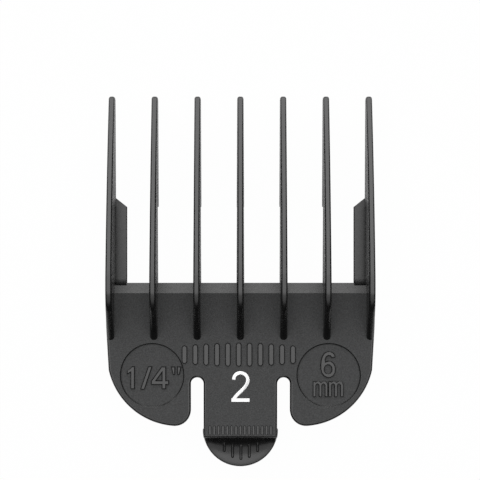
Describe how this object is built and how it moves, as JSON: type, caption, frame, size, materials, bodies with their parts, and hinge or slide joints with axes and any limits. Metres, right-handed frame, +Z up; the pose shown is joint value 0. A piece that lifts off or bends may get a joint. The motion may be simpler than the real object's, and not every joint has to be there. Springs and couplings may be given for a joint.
{
  "type": "clipper guard comb",
  "caption": "Hair clipper guard comb that clips over the blade, with tapering fin teeth, side rails and a springy release tab.",
  "frame": {"origin": "centre of the comb's outline at the level of the rail undersides and the catch foot, on which it lies", "axes": "+X across the comb, +Y towards the tooth tips, +Z up, out of the numbered face and away from the blade"},
  "size_m": [0.0482, 0.0666, 0.0133],
  "materials": {
    "deck_nylon": "black, fine spark-eroded grain",
    "tooth_nylon": "black, smooth satin",
    "rail_nylon": "black, smooth satin",
    "lever_nylon": "black, fine spark-eroded grain"
  },
  "bodies": {
    "comb": {"deck": "deck_nylon", "tooth_1": "tooth_nylon", "tooth_2": "tooth_nylon", "tooth_3": "tooth_nylon", "tooth_4": "tooth_nylon", "tooth_5": "tooth_nylon", "tooth_6": "tooth_nylon", "tooth_7": "tooth_nylon", "left_side_wall": "rail_nylon", "right_side_wall": "rail_nylon", "left_rail": "rail_nylon", "right_rail": "rail_nylon"},
    "release_lever": {"release_tongue": "lever_nylon", "heel_catch": "lever_nylon", "thumb_tab": "lever_nylon"}
  },
  "joints": [
    {"name": "tongue_flex", "type": "hinge", "parent": "comb", "child": "release_lever", "pos_m": [0, -0.0184, 0.00585], "axis": [-1, 0, 0], "range_deg": [-3, 8], "stiffness_Nm_per_rad": 1.6}
  ]
}
